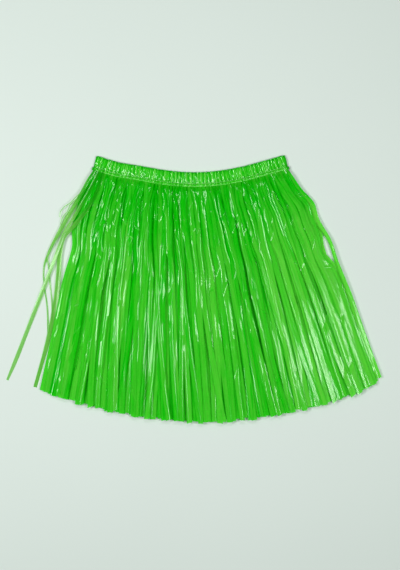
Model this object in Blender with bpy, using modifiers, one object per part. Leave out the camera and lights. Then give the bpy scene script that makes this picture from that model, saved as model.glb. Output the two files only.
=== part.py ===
"""Plastic hula skirt, laid flat on a surface and seen from above.

The skirt is a gathered film casing, folded over a waist elastic, with slit film
panels sewn under it. It lies with its back on the surface (z = 0) and its front
on top. X runs across the skirt, +Y points to the waist and +Z is up. The origin
is on the surface, in the middle of the skirt's outline.
"""
import math
import random
from collections import namedtuple

import bmesh
import bpy
import numpy as np

MM = 0.001

# Driving sizes, in millimetres.
SEAM_GAP = 0.3
CASING_HEIGHT = 19.0
HEADING_HEIGHT = 5.0
STRAND_LENGTH = 380.0
CASING_WALL = 1.9
WAIST_SLOT = 0.5
FILM_WALL = 0.9
FRONT_GATHERS = 53
GATHER_RIDGE = 1.2
GATHER_SPREAD = 0.35
STRAND_COVER = 0.86
STRAND_COVER_LEAST = 0.66
HEM_TRIM = 5.0
CURVE_SAMPLES = 400

# Fractions. A strand takes its own width and way within ROOT_REACH of its
# length. The pile's puff is a sine over PUFF_SPAN of its arch, so that some is
# left at the hem, and PUFF_AT_SIDES of it is left at the fan's two sides.
ROOT_REACH = 0.25
PUFF_SPAN = 0.9
PUFF_ROUNDNESS = 0.8
PUFF_AT_SIDES = 0.25
QUICK_SWAY = 0.25
SHADE_ANGLE = math.radians(35.0)

Spot = namedtuple("Spot", "x y")

# The middle of the whole outline in the tables' millimetres, which is the origin.
MIDDLE = Spot(-2.2, 0.4)

# The casing's top edge, left to right. The elastic draws it into a shallow arc.
WAIST_TOP = (
    Spot(-154.0, 213.0),
    Spot(-122.0, 203.5),
    Spot(-84.0, 197.0),
    Spot(-46.0, 190.5),
    Spot(-7.0, 187.2),
    Spot(31.0, 188.8),
    Spot(70.0, 195.0),
    Spot(108.0, 204.8),
    Spot(142.0, 214.4),
)

# The sides of the fan of strands, from just under the heading to the hem.
LEFT_SIDE = (
    Spot(-175.0, 171.0),
    Spot(-189.0, 146.0),
    Spot(-192.0, 118.0),
    Spot(-199.0, 86.0),
    Spot(-206.0, 40.0),
    Spot(-217.0, -17.0),
    Spot(-230.0, -72.0),
)
RIGHT_SIDE = (
    Spot(168.0, 161.0),
    Spot(188.0, 138.0),
    Spot(199.0, 110.0),
    Spot(218.0, 80.0),
    Spot(230.0, 46.0),
    Spot(250.0, -5.0),
    Spot(272.0, -68.0),
)

# The hem, left to right.
HEM = (
    Spot(-251.0, -164.0),
    Spot(-199.0, -181.5),
    Spot(-130.0, -198.0),
    Spot(-46.0, -212.5),
    Spot(30.0, -215.0),
    Spot(90.0, -210.0),
    Spot(155.0, -199.0),
    Spot(220.0, -182.5),
    Spot(270.0, -165.0),
    Spot(300.0, -144.0),
)

# One row for each layer of slit film, from the surface up. A layer is a left and
# a right panel that meet in the middle of the waist. At the heading it
# lies at root_z. In mid length it puffs up by lift, and each strand rolls within
# the height called roll. Sway is how far strands bunch sideways, as a part of
# the fan's width, short is how far the layer ends above the hem, and step is
# the rise across each pleat of its heading.
Layer = namedtuple("Layer", "name strands segments root_z lift roll sway phase short step")
LAYERS = (
    Layer("back_fringe_under", 38, 4, 0.0, 0.0, 0.0, 0.006, 0.2, 4.0, 0.0),
    Layer("back_fringe_upper", 38, 4, 1.3, 0.0, 0.9, 0.008, 2.1, 3.0, 0.0),
    Layer("front_fringe_under", 44, 5, 2.5, 1.1, 1.2, 0.010, 4.0, 2.0, 0.0),
    Layer("front_fringe_middle", 46, 6, 3.75, 2.5, 1.8, 0.010, 5.4, 1.0, 0.0),
    Layer("front_fringe_top", 48, 7, 5.0, 4.5, 4.0, 0.009, 1.2, 0.0, 0.5),
)

# Three strips stray from the fan on the left. Each hangs from its own bit of
# heading on top of the front layer's, comes down over the fan's side and ends
# on the surface. Columns: the strip's middle, its underside and its width.
Stop = namedtuple("Stop", "x y z width")
STRAY_CURL = (
    Stop(-168.0, 176.0, 7.4, 4.8),
    Stop(-180.0, 154.0, 7.8, 4.8),
    Stop(-192.0, 136.0, 7.5, 5.0),
    Stop(-204.6, 113.6, 5.4, 5.0),
    Stop(-220.0, 86.4, 3.2, 4.6),
    Stop(-236.0, 57.6, 1.0, 4.0),
    Stop(-242.4, 36.8, 0.0, 3.6),
    Stop(-242.4, 10.0, 0.0, 3.4),
    Stop(-240.0, -17.0, 0.0, 3.4),
    Stop(-235.5, -70.0, 0.0, 4.0),
)
STRAY_LONG = (
    Stop(-161.0, 170.0, 7.8, 5.2),
    Stop(-174.0, 147.0, 8.6, 5.2),
    Stop(-186.0, 127.0, 9.2, 5.4),
    Stop(-196.0, 114.0, 9.0, 5.6),
    Stop(-208.8, 91.2, 8.0, 5.8),
    Stop(-219.0, 74.0, 6.8, 6.2),
    Stop(-231.2, 30.0, 4.4, 7.0),
    Stop(-242.4, -1.6, 2.8, 7.2),
    Stop(-261.0, -44.8, 1.2, 6.6),
    Stop(-277.0, -88.0, 0.4, 6.4),
    Stop(-300.5, -145.6, 0.0, 4.0),
)
STRAY_WIDE = (
    Stop(-151.0, 168.0, 7.8, 5.2),
    Stop(-157.0, 148.0, 8.6, 5.4),
    Stop(-171.0, 122.0, 9.4, 6.0),
    Stop(-190.0, 95.0, 9.4, 7.0),
    Stop(-207.5, 68.0, 6.8, 7.6),
    Stop(-216.5, 42.0, 4.4, 8.0),
    Stop(-220.0, 20.0, 3.4, 8.0),
    Stop(-225.0, -18.0, 2.6, 8.0),
    Stop(-239.5, -82.0, 1.6, 6.4),
    Stop(-257.0, -156.0, 0.0, 5.0),
)
Stray = namedtuple("Stray", "name place stops")
STRAYS = (
    Stray("front_stray_curl", 0, STRAY_CURL),
    Stray("front_stray_long", 1, STRAY_LONG),
    Stray("front_stray_wide", 2, STRAY_WIDE),
)
STRAY_ROOT_Z = 6.9

BACK_COLUMNS = 26
FOLD_ANGLES = (45.0, 90.0, 135.0)


def smooth_curve(spots):
    """A function from 0..1 of the length to a point on a curve through spots."""
    points = np.array([tuple(spot) for spot in spots], dtype=float)
    steps = np.linalg.norm(np.diff(points, axis=0), axis=1)
    knots = np.concatenate(([0.0], np.cumsum(steps)))
    slopes = np.gradient(points, knots, axis=0)
    places = np.linspace(0.0, knots[-1], CURVE_SAMPLES)
    spans = np.clip(np.searchsorted(knots, places, side="right") - 1, 0, len(steps) - 1)
    width = steps[spans]
    s = ((places - knots[spans]) / width)[:, None]
    width = width[:, None]
    path = (
        (2 * s**3 - 3 * s**2 + 1) * points[spans]
        + (s**3 - 2 * s**2 + s) * width * slopes[spans]
        + (3 * s**2 - 2 * s**3) * points[spans + 1]
        + (s**3 - s**2) * width * slopes[spans + 1]
    )
    run = np.concatenate(([0.0], np.cumsum(np.linalg.norm(np.diff(path, axis=0), axis=1))))
    run /= run[-1]

    def at(part):
        return np.array([np.interp(part, run, path[:, axis]) for axis in range(path.shape[1])])

    return at


waist_top = smooth_curve(WAIST_TOP)


def waist_frame(u):
    """The casing's top edge at u, with its direction and the way down the skirt."""
    step = 0.004
    ahead = waist_top(min(u + step, 1.0))
    behind = waist_top(max(u - step, 0.0))
    along = (ahead - behind) / np.linalg.norm(ahead - behind)
    down = np.array([along[1], -along[0]])
    return waist_top(u), along, down


def below_waist(u, distance):
    """A point the given distance below the casing's top edge."""
    top, along, down = waist_frame(u)
    return top + down * distance


HEADING_TOP = CASING_HEIGHT + SEAM_GAP
HEADING_END = HEADING_TOP + HEADING_HEIGHT


def side_curve(u, side, corner):
    """A side of the fan, from the heading's corner to the hem's corner."""
    start = below_waist(u, HEADING_END)
    return smooth_curve((Spot(*start),) + side + (corner,))


left_side = side_curve(0.0, LEFT_SIDE, HEM[0])
right_side = side_curve(1.0, RIGHT_SIDE, HEM[-1])
hem = smooth_curve(HEM)


def fan_point(u, t):
    """A point of the fan: u runs from left to right, t from heading to hem."""
    start = below_waist(u, HEADING_END)
    start_chord = (1 - u) * below_waist(0.0, HEADING_END) + u * below_waist(1.0, HEADING_END)
    end = hem(u)
    end_chord = (1 - u) * hem(0.0) + u * hem(1.0)
    across = (1 - u) * left_side(t) + u * right_side(t)
    return across + (1 - t) * (start - start_chord) + t * (end - end_chord)


def puff(u, t):
    """How far the pile of strands puffs up: nothing at the heading, most in mid length."""
    lengthwise = math.sin(math.pi * PUFF_SPAN * t) ** PUFF_ROUNDNESS
    sideways = PUFF_AT_SIDES + (1.0 - PUFF_AT_SIDES) * math.sqrt(math.sin(math.pi * u))
    return lengthwise * sideways


def swayed(layer, u, t):
    """Strands of one layer bunch and part together, more towards the hem."""
    slow = math.sin(4.0 * math.pi * u + layer.phase)
    quick = QUICK_SWAY * math.sin(10.0 * math.pi * u + 2.0 * layer.phase)
    inside = min(1.0, 6.0 * min(u, 1.0 - u))
    return u + layer.sway * inside * t * (slow + quick)


Strand = namedtuple("Strand", "cover aside turns start twist trim")


def draw_strands(layer):
    """The small differences between the strands of a layer."""
    draw = random.Random(layer.name)
    return [
        Strand(
            cover=draw.uniform(STRAND_COVER_LEAST, STRAND_COVER),
            aside=draw.uniform(-0.3, 0.3),
            turns=draw.uniform(0.6, 1.6),
            start=draw.uniform(0.0, 2.0 * math.pi),
            twist=draw.uniform(-0.7, 0.7),
            trim=layer.short + draw.uniform(0.0, HEM_TRIM),
        )
        for _ in range(layer.strands)
    ]


def comb_grid(strands, segments):
    """A flat comb: a row of heading cells, and a one cell wide tooth for each strand."""
    bm = bmesh.new()
    columns = 2 * strands - 1
    rows = segments + 1
    bmesh.ops.create_grid(bm, x_segments=columns, y_segments=rows, size=1.0)
    for vert in bm.verts:
        column = round((vert.co.x + 1.0) / 2.0 * columns)
        row = rows - round((vert.co.y + 1.0) / 2.0 * rows)
        vert.co = (column, row, 0.0)
    slits = []
    for face in bm.faces:
        middle = face.calc_center_median()
        between_strands = int(middle.x) % 2 == 1
        if between_strands and middle.y > 1.0:
            slits.append(face)
    bmesh.ops.delete(bm, geom=slits, context="FACES")
    return bm


def heading_point(layer, u, side, row):
    """A point of a layer's heading: row 0 is its sewn edge, row 1 where the slits start."""
    x, y = below_waist(u, HEADING_TOP + row * HEADING_HEIGHT)
    rise = layer.step if side > 0 else 0.0
    return x, y, layer.root_z + rise


def strand_edge(layer, strand, place, side, row):
    """A point on one edge of a strand, side -1 or 1, or of the heading above it."""
    pitch = 1.0 / layer.strands
    middle = (place + 0.5) * pitch
    if row <= 1:
        return heading_point(layer, middle + side * 0.5 * STRAND_COVER * pitch, side, row)
    t = (row - 1) / layer.segments * (1.0 - strand.trim / STRAND_LENGTH)
    free = min(1.0, t / ROOT_REACH)
    cover = STRAND_COVER + (strand.cover - STRAND_COVER) * free
    turn = 2.0 * math.pi * strand.turns * t
    drift = strand.aside * (1.0 - cover) * pitch * free * math.sin(turn)
    u = swayed(layer, middle + drift + side * 0.5 * cover * pitch, t)
    x, y = fan_point(u, t)
    roll = layer.roll * (0.5 + 0.5 * math.sin(strand.start + turn + side * strand.twist))
    return x, y, layer.root_z + (layer.lift + roll) * puff(u, t)


def film_material(name, color, roughness):
    material = bpy.data.materials.new(name)
    material.use_nodes = True
    shader = material.node_tree.nodes["Principled BSDF"]
    shader.inputs["Base Color"].default_value = (*color, 1.0)
    shader.inputs["Roughness"].default_value = roughness
    shader.inputs["Metallic"].default_value = 0.0
    return material


def add_object(name, mesh, collection, material):
    mesh.materials.append(material)
    mesh.shade_smooth()
    mesh.set_sharp_from_angle(angle=SHADE_ANGLE)
    obj = bpy.data.objects.new(name, mesh)
    collection.objects.link(obj)
    return obj


def thicken(obj):
    """Give an open film sheet its wall, upwards from the sheet."""
    wall = obj.modifiers.new("film wall", "SOLIDIFY")
    wall.thickness = FILM_WALL * MM
    wall.offset = 1.0


def from_tables(x, y, z):
    """A point of the tables, in millimetres, as a point of the model in metres."""
    return (x - MIDDLE.x) * MM, (y - MIDDLE.y) * MM, z * MM


def sheet_object(name, bm, collection, material):
    """Turn a placed sheet, in millimetres, into a walled object facing up."""
    for vert in bm.verts:
        vert.co = from_tables(*vert.co)
    bmesh.ops.recalc_face_normals(bm, faces=bm.faces)
    if sum(face.normal.z for face in bm.faces) < 0.0:
        bmesh.ops.reverse_faces(bm, faces=bm.faces)
    mesh = bpy.data.meshes.new(name)
    bm.to_mesh(mesh)
    bm.free()
    obj = add_object(name, mesh, collection, material)
    thicken(obj)
    return obj


def build_panel(layer, side_name, first, count, collection, material):
    """A slit film panel: its heading and all its strands, in one body."""
    strands = draw_strands(layer)
    bm = comb_grid(count, layer.segments)
    for vert in bm.verts:
        column = int(vert.co.x)
        place = first + column // 2
        side = 1 if column % 2 else -1
        vert.co = strand_edge(layer, strands[place], place, side, int(vert.co.y))
    return sheet_object(f"{layer.name}_{side_name}", bm, collection, material)


def build_layer(layer, collection, material):
    """The left and the right panel of a layer."""
    half = layer.strands // 2
    build_panel(layer, "left", 0, half, collection, material)
    build_panel(layer, "right", half, layer.strands - half, collection, material)


def stray_edges(stops):
    """The left and right edge of a stray strip at each of its stops."""
    path = smooth_curve(stops)
    last = len(stops) - 1
    edges = []
    for index in range(last + 1):
        part = index / last
        x, y, z, width = path(part)
        along = path(min(part + 0.01, 1.0))[:2] - path(max(part - 0.01, 0.0))[:2]
        along /= np.linalg.norm(along)
        left = np.array([along[1], -along[0]]) * width / 2
        z = max(z, 0.0)
        edges.append(((x + left[0], y + left[1], z), (x - left[0], y - left[1], z)))
    return edges


def stray_root(place, side, row):
    """A point of a stray's heading, which lies on the front layer's heading."""
    pitch = 1.0 / LAYERS[-1].strands
    u = (place + 0.5) * pitch + side * 0.5 * STRAND_COVER * pitch
    x, y = below_waist(u, HEADING_TOP + row * HEADING_HEIGHT)
    return x, y, STRAY_ROOT_Z


def build_stray(stray, collection, material):
    """A strip that left the fan, fused to a bit of heading of its own."""
    bm = comb_grid(1, len(stray.stops))
    edges = stray_edges(stray.stops)
    for vert in bm.verts:
        right, row = int(vert.co.x), int(vert.co.y)
        if row <= 1:
            vert.co = stray_root(stray.place, 1 if right else -1, row)
        else:
            vert.co = edges[row - 2][right]
    return sheet_object(stray.name, bm, collection, material)


def casing_stations():
    """Stations round the casing: place along the waist, outward angle, gather height."""
    draw = random.Random("gathers")
    steps = 2 * FRONT_GATHERS
    stations = [(0.0, 90.0, 0.0)]
    for index in range(1, steps):
        nudge = draw.uniform(-GATHER_SPREAD, GATHER_SPREAD)
        ridge = GATHER_RIDGE * draw.uniform(0.6, 1.1) if index % 2 else 0.0
        stations.append(((index + nudge) / steps, 90.0, ridge))
    stations.append((1.0, 90.0, 0.0))
    for angle in FOLD_ANGLES:
        stations.append((1.0, 90.0 - angle, 0.0))
    for index in range(BACK_COLUMNS + 1):
        stations.append((1.0 - index / BACK_COLUMNS, -90.0, 0.0))
    for angle in FOLD_ANGLES:
        stations.append((0.0, -90.0 - angle, 0.0))
    return stations


# Down the casing's outer face, then up its plain inner face: how far below the
# top edge, the part of the gathers' height that it has, and which face it is on.
CasingRow = namedtuple("CasingRow", "below gather outer")
CASING_SECTION = (
    CasingRow(0.0, 0.45, True),
    CasingRow(3.5, 1.0, True),
    CasingRow(15.5, 1.0, True),
    CasingRow(CASING_HEIGHT, 0.3, True),
    CasingRow(CASING_HEIGHT, 0.0, False),
    CasingRow(0.0, 0.0, False),
)


def build_casing(collection, material):
    """The casing all round the waist, pressed flat, as one wall with torus topology."""
    stations = casing_stations()
    bpy.ops.mesh.primitive_torus_add(
        major_segments=len(stations), minor_segments=len(CASING_SECTION),
        major_radius=1.0, minor_radius=0.25)
    obj = bpy.context.object
    inner = 0.5 * WAIST_SLOT
    outer = inner + CASING_WALL
    mesh = obj.data
    for vert in mesh.vertices:
        station, row_index = divmod(vert.index, len(CASING_SECTION))
        u, angle, gather = stations[station]
        row = CASING_SECTION[row_index]
        top, along, down = waist_frame(u)
        reach = outer + gather * row.gather if row.outer else inner
        turn = math.radians(angle)
        x, y = top + down * row.below + along * reach * math.cos(turn)
        vert.co = from_tables(x, y, outer + reach * math.sin(turn))
    bm = bmesh.new()
    bm.from_mesh(mesh)
    bmesh.ops.recalc_face_normals(bm, faces=bm.faces)
    bm.to_mesh(mesh)
    bm.free()
    bpy.data.objects.remove(obj)
    mesh.name = "waistband_casing"
    return add_object("waistband_casing", mesh, collection, material)


def clear_scene():
    for obj in list(bpy.data.objects):
        bpy.data.objects.remove(obj)


def main():
    clear_scene()
    scene = bpy.context.scene
    scene.unit_settings.system = "METRIC"
    collection = bpy.data.collections.new("hula_skirt")
    scene.collection.children.link(collection)
    casing_film = film_material("gathered green film", (0.10, 0.62, 0.05), 0.30)
    build_casing(collection, casing_film)
    for number, layer in enumerate(LAYERS):
        shade = 0.45 + 0.05 * number
        film = film_material(f"slit green film {number + 1}", (0.03, shade, 0.01), 0.25)
        build_layer(layer, collection, film)
    for number, stray in enumerate(STRAYS):
        film = film_material(f"loose green film {number + 1}", (0.16, 0.50 + 0.05 * number, 0.08), 0.25)
        build_stray(stray, collection, film)


main()
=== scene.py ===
# %% [markdown]
# # A plastic hula skirt, laid flat
#
# The real skirt is cut from thin green polyethylene film. A strip of film is
# folded over a waist elastic and stitched, and long panels of slit film hang
# from it in layers. It lies on a pale surface with its back down and is seen
# from straight above. Film is almost weightless and keeps every crease it was
# packed with, so its look is made of three things: many thin strips that lie
# across each other, sharp lengthwise folds, and small kinks that catch light.

# %% Load the frame
import math
import random

import bpy
import numpy as np
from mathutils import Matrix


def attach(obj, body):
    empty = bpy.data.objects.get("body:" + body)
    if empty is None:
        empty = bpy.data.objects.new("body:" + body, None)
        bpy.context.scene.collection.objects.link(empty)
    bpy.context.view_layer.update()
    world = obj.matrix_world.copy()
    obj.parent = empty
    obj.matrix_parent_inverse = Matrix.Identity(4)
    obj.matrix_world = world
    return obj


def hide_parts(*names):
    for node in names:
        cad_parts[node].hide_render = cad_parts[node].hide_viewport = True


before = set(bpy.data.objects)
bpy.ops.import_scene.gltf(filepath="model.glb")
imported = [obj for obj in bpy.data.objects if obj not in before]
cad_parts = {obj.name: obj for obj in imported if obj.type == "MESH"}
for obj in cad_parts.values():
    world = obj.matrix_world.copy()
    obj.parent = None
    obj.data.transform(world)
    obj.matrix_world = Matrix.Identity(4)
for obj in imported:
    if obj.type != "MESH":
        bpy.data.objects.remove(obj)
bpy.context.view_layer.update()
MM = 0.001

# %% [markdown]
# ## The skirt's pattern
#
# Everything follows four curves: the waist's top edge, the two sides of the fan
# and the hem. They are the sizes the solid parts were built from, in
# millimetres, measured from a point near the middle of the skirt. A smooth curve
# through a few points is easier to correct than a long outline.

# %% The four curves
PATTERN_CENTRE = np.array([-2.2, 0.4, 0.0])
CASING_HEIGHT = 19.0
SEAM_GAP = 0.3
HEADING_HEIGHT = 5.0
HEADING_TOP = CASING_HEIGHT + SEAM_GAP
HEADING_END = HEADING_TOP + HEADING_HEIGHT
STRIP_LENGTH = 380.0
WAIST_LENGTH = 312.0

WAIST_TOP = (
    (-154, 213), (-122, 203.5), (-84, 197), (-46, 190.5), (-7, 187.2),
    (31, 188.8), (70, 195), (108, 204.8), (142, 214.4),
)
LEFT_SIDE = (
    (-172, 166), (-183, 143), (-191, 121), (-196, 97), (-196, 70),
    (-203, 43), (-211, 18), (-219, -18), (-232, -80),
)
RIGHT_SIDE = (
    (168, 161), (188, 138), (199, 110), (218, 80),
    (230, 46), (250, -5), (272, -68),
)
HEM = (
    (-251, -164), (-199, -181.5), (-130, -198), (-46, -212.5), (30, -215),
    (90, -210), (155, -199), (220, -182.5), (270, -165), (300, -144),
)
CURVE_SAMPLES = 600


def smooth_curve(points):
    """A function from parts of the length, 0 to 1, to points on a smooth curve."""
    points = np.array(points, dtype=float)
    steps = np.linalg.norm(np.diff(points, axis=0), axis=1)
    knots = np.concatenate(([0.0], np.cumsum(steps)))
    slopes = np.gradient(points, knots, axis=0)
    places = np.linspace(0.0, knots[-1], CURVE_SAMPLES)
    spans = np.clip(np.searchsorted(knots, places, side="right") - 1, 0, len(steps) - 1)
    width = steps[spans][:, None]
    s = (places - knots[spans])[:, None] / width
    path = (
        (2 * s**3 - 3 * s**2 + 1) * points[spans]
        + (s**3 - 2 * s**2 + s) * width * slopes[spans]
        + (3 * s**2 - 2 * s**3) * points[spans + 1]
        + (s**3 - s**2) * width * slopes[spans + 1]
    )
    run = np.concatenate(([0.0], np.cumsum(np.linalg.norm(np.diff(path, axis=0), axis=1))))
    run /= run[-1]

    def at(parts):
        parts = np.asarray(parts, dtype=float)
        return np.stack([np.interp(parts, run, path[:, i]) for i in range(path.shape[1])], axis=-1)

    return at


waist_top = smooth_curve(WAIST_TOP)
hem_line = smooth_curve(HEM)
print("hem to waist in mm:", round(float(waist_top(0.5)[1] - hem_line(0.5)[1]), 1))

# %% [markdown]
# The waist curves, so "down the skirt" is a different direction at each point of
# it. The two sides start where the heading ends, at its two corners.

# %% Along the waist and down from it
WAY_STEP = 0.004


def waist_way(u):
    """Unit directions along the waist, and down the skirt from it."""
    u = np.asarray(u, dtype=float)
    ahead = waist_top(np.minimum(u + WAY_STEP, 1.0))
    behind = waist_top(np.maximum(u - WAY_STEP, 0.0))
    along = ahead - behind
    along /= np.linalg.norm(along, axis=-1, keepdims=True)
    down = np.stack([along[..., 1], -along[..., 0]], axis=-1)
    return along, down


def below_waist(u, distance):
    """Points a distance below the casing's top edge."""
    _, down = waist_way(u)
    return waist_top(u) + down * np.asarray(distance)[..., None]


corner_left = below_waist(0.0, HEADING_END)
corner_right = below_waist(1.0, HEADING_END)
left_side = smooth_curve((tuple(corner_left),) + LEFT_SIDE + (HEM[0],))
right_side = smooth_curve((tuple(corner_right),) + RIGHT_SIDE + (HEM[-1],))
print("heading's corners in mm:", corner_left.round(1), corner_right.round(1))

# %% [markdown]
# Strips fan out from the heading to the hem. A point of the fan is found from
# two shares: u across it and t down it. The sides bulge and draw in, and the
# strips next to a side follow it more than those in the middle do.

# %% A point of the fan
FAN_OVERHANG = 0.03
SIDE_FOLLOWED = 0.3
SIDE_REACH = 0.08
PUFF_LENGTH = 0.9
PUFF_STEEPNESS = 0.8
PUFF_AT_SIDES = 0.25


def side_wiggle(side, t, distance):
    """How a side curve leaves its straight line, mostly felt by the strips next to it."""
    straight = (1 - t[..., None]) * side(0.0) + t[..., None] * side(1.0)
    share = SIDE_FOLLOWED + (1.0 - SIDE_FOLLOWED) * np.exp(-((distance / SIDE_REACH) ** 2))
    return straight + (side(t) - straight) * share[..., None]


def off_straight(curve, part, first, last):
    """How far a curve lies from the straight line between its two ends."""
    return curve - (1 - part) * first - part * last


def fan_point(u, t):
    """Points of the fan: u from left to right, t from the heading to the hem."""
    u = np.clip(u, -FAN_OVERHANG, 1.0 + FAN_OVERHANG)
    held = np.clip(u, 0.0, 1.0)
    part, inner, length = u[..., None], held[..., None], t[..., None]
    left = side_wiggle(left_side, t, held)
    right = side_wiggle(right_side, t, 1 - held)
    start = off_straight(below_waist(held, HEADING_END), inner, corner_left, corner_right)
    end = off_straight(hem_line(held), inner, hem_line(0.0), hem_line(1.0))
    return (1 - part) * left + part * right + (1 - length) * start + length * end


def puff(u, t):
    """How far the pile of strips puffs up, from 0 at the heading to 1 in the middle."""
    lengthwise = np.sin(math.pi * PUFF_LENGTH * np.clip(t, 0.0, 1.0)) ** PUFF_STEEPNESS
    hump = np.sqrt(np.sin(math.pi * np.clip(u, 0.0, 1.0)))
    return lengthwise * (PUFF_AT_SIDES + (1.0 - PUFF_AT_SIDES) * hump)


centre_line = fan_point(np.full(2, 0.5), np.array([0.0, 1.0]))
print("middle strip from and to, in mm:", centre_line.round(1).tolist())

# %% [markdown]
# ## Film, and how it takes colour
#
# Polyethylene film is blown thin, dyed right through and very glossy. Light goes
# through it as well as off it: one strip over the pale surface looks light and a
# little yellow, and ten on top of each other look deep green. So the finish
# mixes a glossy surface, a translucent one and a little plain transparency.
# Where a strip is darker or paler is written on its mesh, as the value "tone":
# partly the film's own uneven tone, partly painted shade and painted light.

# %% A helper for nodes and one for colours
def linear(hex_colour):
    """An sRGB hex colour as linear red, green, blue and alpha."""
    channels = [int(hex_colour[i:i + 2], 16) / 255 for i in (1, 3, 5)]
    return [c / 12.92 if c <= 0.04045 else ((c + 0.055) / 1.055) ** 2.4 for c in channels] + [1.0]


def add_node(tree, kind, settings=None, links=None):
    """Add a node, set its properties or sockets, and link sockets into it."""
    node = tree.nodes.new(kind)
    for key, value in (settings or {}).items():
        if isinstance(key, str) and hasattr(node, key):
            setattr(node, key, value)
        else:
            node.inputs[key].default_value = value
    for key, source in (links or {}).items():
        tree.links.new(source, node.inputs[key])
    return node


# %% Polyethylene film
# Blowing draws fine lines down the film, under a millimetre apart. They are drawn 3 mm apart,
# so that they show, and each changes its tone a few times from end to end.
LINE_SPACING = 3.0
LINE_PATCHES = 9.0
LINE_TONE = 0.7
LINE_RELIEF = 0.6
LINE_STRENGTH = 0.012
# The ramp runs from the edge colour at tone 0, over deep green here, to the light one at 1.
# Tones towards the edge colour are mostly painted shade, tones towards the light one mostly
# painted light.
DEEP_TONE = 0.4
THROUGH_SHARE = 0.5
CLEAR_TINT = "#c8f0b4"
FILM_IOR = 1.51


def film_finish(name, light, deep, edge, passing, see_through, roughness, width):
    """Glossy, translucent film for a sheet of this width in mm, with lengthwise lines."""
    material = bpy.data.materials.new(name)
    material.use_nodes = True
    tree = material.node_tree
    tree.nodes.clear()
    uv = add_node(tree, "ShaderNodeUVMap", {"uv_map": "UVMap"})
    tone = add_node(tree, "ShaderNodeAttribute", {"attribute_name": "tone"})
    lines = add_node(tree, "ShaderNodeMapping", {"Scale": (width / LINE_SPACING, LINE_PATCHES, 1.0)},
                     {"Vector": uv.outputs["UV"]})
    drawn = add_node(tree, "ShaderNodeTexNoise", {"Scale": 1.0, "Detail": 3.0, "Roughness": 0.6},
                     {"Vector": lines.outputs["Vector"]})
    patch = add_node(tree, "ShaderNodeMath",
                     {"operation": "MULTIPLY_ADD", 1: LINE_TONE, 2: -LINE_TONE / 2},
                     {0: drawn.outputs["Fac"]})
    shade = add_node(tree, "ShaderNodeMath", {"operation": "ADD", "use_clamp": True},
                     {0: tone.outputs["Fac"], 1: patch.outputs["Value"]})
    colour = add_node(tree, "ShaderNodeValToRGB", {}, {"Fac": shade.outputs["Value"]})
    ramp = colour.color_ramp.elements
    ramp[0].color = linear(edge)
    ramp[1].color = linear(light)
    ramp.new(DEEP_TONE).color = linear(deep)
    bump = add_node(tree, "ShaderNodeBump", {"Strength": LINE_STRENGTH, "Distance": LINE_RELIEF * MM},
                    {"Height": drawn.outputs["Fac"]})
    surface = add_node(tree, "ShaderNodeBsdfPrincipled", {"Roughness": roughness, "IOR": FILM_IOR},
                       {"Base Color": colour.outputs["Color"], "Normal": bump.outputs["Normal"]})
    through = add_node(tree, "ShaderNodeBsdfTranslucent", {"Color": linear(passing)},
                       {"Normal": bump.outputs["Normal"]})
    clear = add_node(tree, "ShaderNodeBsdfTransparent", {"Color": linear(CLEAR_TINT)})
    body = add_node(tree, "ShaderNodeMixShader", {0: THROUGH_SHARE},
                    {1: surface.outputs[0], 2: through.outputs[0]})
    film = add_node(tree, "ShaderNodeMixShader", {0: see_through},
                    {1: body.outputs[0], 2: clear.outputs[0]})
    add_node(tree, "ShaderNodeOutputMaterial", {}, {"Surface": film.outputs[0]})
    return material


# The pile: strip over strip, so deep green and hardly seen through; its tone adds painted
# shade and painted light.
FRINGE_FILM = film_finish(
    "blown_polyethylene_film", light="#84f054", deep="#06d802", edge="#06bc02", passing="#44f814",
    see_through=0.32, roughness=0.14, width=480.0)
# One strip over the pale surface: the same film, painted paler and more olive for the light that
# comes back through it from the surface, and half seen through.
STRAY_FILM = film_finish(
    "single_polyethylene_film", light="#ccf0b0", deep="#98d070", edge="#18c008", passing="#a4f07c",
    see_through=0.55, roughness=0.15, width=60.0)
# The gathered casing: many folds, with painted highlights on their ridges and painted shade
# between them.
CASING_FILM = film_finish(
    "gathered_polyethylene_film", light="#a0fc70", deep="#2cd810", edge="#009c00", passing="#50f828",
    see_through=0.06, roughness=0.13, width=900.0)
print("film finishes:", [m.name for m in (FRINGE_FILM, STRAY_FILM, CASING_FILM)])

# %% [markdown]
# ## From a flat grid to slit film
#
# A panel starts as one grid, as the film starts as one sheet. The faces between
# two strips are deleted below the heading, which slits it. Then each point goes
# to its place: down its strip's path, across its width, and up and down over
# its folds. Last, Solidify gives the film its thickness.

# %% Points and where they belong
def read_places(mesh):
    """The places of a mesh's points, one row a point."""
    places = np.empty(len(mesh.vertices) * 3)
    mesh.vertices.foreach_get("co", places)
    return places.reshape(-1, 3)


def on_table(places):
    """Places on the pattern in mm as places in the frame in metres."""
    return (places - PATTERN_CENTRE) * MM


def grid_index(mesh, columns, rows):
    """The column and the row of each point of a new 2 m grid, counted from its top left."""
    flat = read_places(mesh)
    column = np.rint((flat[:, 0] + 1.0) / 2.0 * columns).astype(int)
    row = np.rint((1.0 - flat[:, 1]) / 2.0 * rows).astype(int)
    return column, row


def keep_points(mesh, column, row):
    """Write each point's column and row on the mesh, because deleting renumbers points."""
    for label, values in (("column", column), ("row", row)):
        layer = mesh.attributes.new(label, "INT", "POINT")
        layer.data.foreach_set("value", values)


def read_points(mesh, label):
    """Read the columns or the rows that keep_points wrote."""
    values = np.empty(len(mesh.vertices), dtype=np.int32)
    mesh.attributes[label].data.foreach_get("value", values)
    return values


# %% Slit a grid
def slit_faces(mesh, columns, rows, across, heading):
    """Which faces lie between two strips, below the heading."""
    centres = np.empty(len(mesh.polygons) * 3)
    mesh.polygons.foreach_get("center", centres)
    centres = centres.reshape(-1, 3)
    cell = np.floor((centres[:, 0] + 1.0) / 2.0 * columns).astype(int)
    cell_row = np.floor((1.0 - centres[:, 1]) / 2.0 * rows).astype(int)
    return (cell % across == across - 1) & (cell_row >= heading)


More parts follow.
